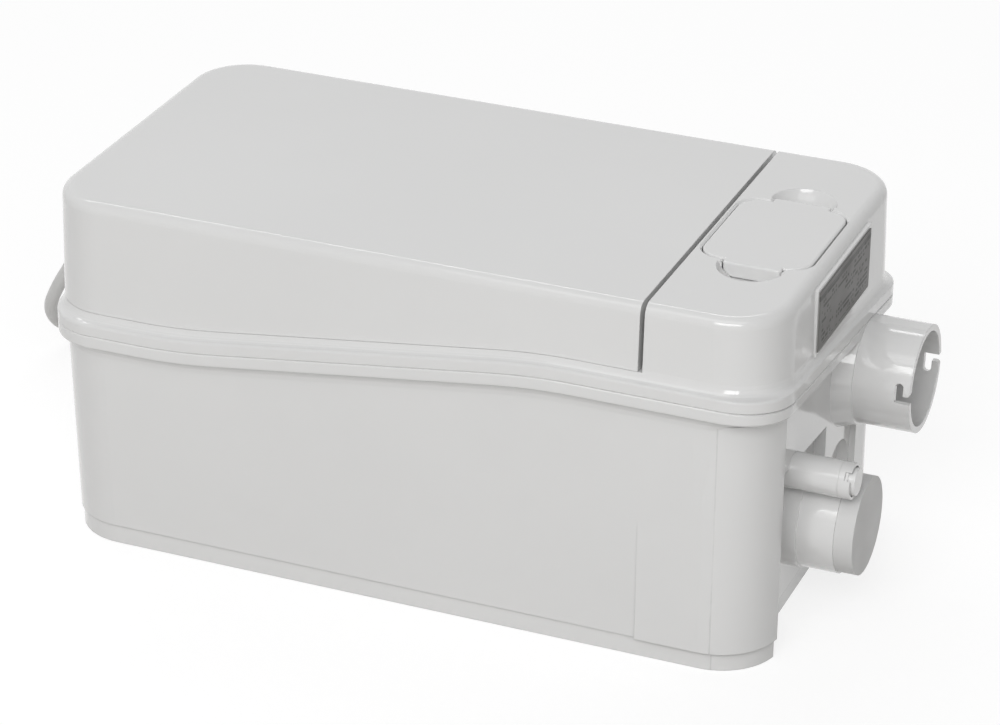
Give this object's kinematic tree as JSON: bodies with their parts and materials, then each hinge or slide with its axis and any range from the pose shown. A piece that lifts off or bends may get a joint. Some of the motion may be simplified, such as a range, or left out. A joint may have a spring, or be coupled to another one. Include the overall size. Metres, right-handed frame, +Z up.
{
  "type": "sewage lifting unit",
  "caption": "Compact floor-standing sewage lifting unit: white tank, stepped cover with hatch, open discharge spigot, closed inlet spigot, drain spigot and mains cord.",
  "frame": {"origin": "centre of the flat base, on the floor", "axes": "+Z up; +X along the unit towards the spigots; -Y is the long front side"},
  "size_m": [0.4018, 0.2972, 0.148],
  "materials": {
    "white_plastic": "glossy moulded plastic",
    "grey_plastic": "satin moulded plastic",
    "dark_plastic": "satin moulded plastic",
    "plate": "printed film",
    "seal_rubber": "soft rubber",
    "steel": "machined",
    "laminations": "stacked sheet",
    "copper": "enamelled wire",
    "zinc_screw": "zinc plated",
    "aluminium": "die cast",
    "board": "solder mask",
    "brass": "turned",
    "hose": "moulded hose",
    "carbon": "granules",
    "cord_grey": "flexible sheath",
    "plug_white": "moulded plug"
  },
  "bodies": {
    "housing": {"tank": "white_plastic", "lid": "white_plastic", "motor_cover": "white_plastic", "hatch_seal": "seal_rubber", "rating_plate": "plate", "rim_gasket": "seal_rubber", "lid_screws": "zinc_screw", "inlet_blank": "grey_plastic", "inlet_seal": "seal_rubber", "motor_housing": "aluminium", "motor_cap": "aluminium", "stator": "laminations", "stator_windings": "copper", "lower_bearing": "steel", "upper_bearing": "steel", "shaft_seal": "seal_rubber", "motor_screws": "zinc_screw", "volute": "dark_plastic", "volute_screws": "zinc_screw", "suction_strainer": "grey_plastic", "delivery_hose": "hose", "valve_body": "dark_plastic", "valve_pin": "steel", "riser_pipe": "hose", "hose_clips": "steel", "level_tube": "grey_plastic", "level_switch": "dark_plastic", "switch_diaphragm": "seal_rubber", "micro_switch": "dark_plastic", "control_board": "board", "board_pillars": "brass", "relay": "dark_plastic", "terminal_block": "grey_plastic", "capacitor": "aluminium", "capacitor_strap": "steel", "vent_filter": "grey_plastic", "carbon_core": "carbon", "foot_pads": "seal_rubber", "cable_gland": "grey_plastic", "gland_nut": "grey_plastic", "gland_locknut": "grey_plastic", "power_cord": "cord_grey", "cord_coil": "cord_grey", "mains_plug": "plug_white", "plug_pins": "steel"},
    "rotor_unit": {"rotor": "laminations", "motor_shaft": "steel", "impeller": "grey_plastic", "impeller_nut": "brass"},
    "valve_flap": {"valve_flap": "seal_rubber"},
    "hatch": {"hatch": "white_plastic"},
    "drain_plug": {"drain_plug": "grey_plastic", "drain_plug_seal": "seal_rubber"},
    "switch_plunger": {"switch_plunger": "grey_plastic"}
  },
  "joints": [
    {"name": "rotor_spin", "type": "hinge", "parent": "housing", "child": "rotor_unit", "pos_m": [-0.072, 0, 0.08], "axis": [0, 0, 1], "continuous": true},
    {"name": "flap_swing", "type": "hinge", "parent": "housing", "child": "valve_flap", "pos_m": [0.0405, 0.0345, 0.0445], "axis": [0, -1, 0], "range_deg": [0, 55]},
    {"name": "hatch_lift", "type": "slide", "parent": "housing", "child": "hatch", "axis": [0, 0, 1], "range_m": [0, 0.04]},
    {"name": "drain_plug_pull", "type": "slide", "parent": "housing", "child": "drain_plug", "axis": [1, 0, 0], "range_m": [0, 0.03]},
    {"name": "plunger_rise", "type": "slide", "parent": "housing", "child": "switch_plunger", "axis": [0, 0, 1], "range_m": [0, 0.0015]}
  ]
}
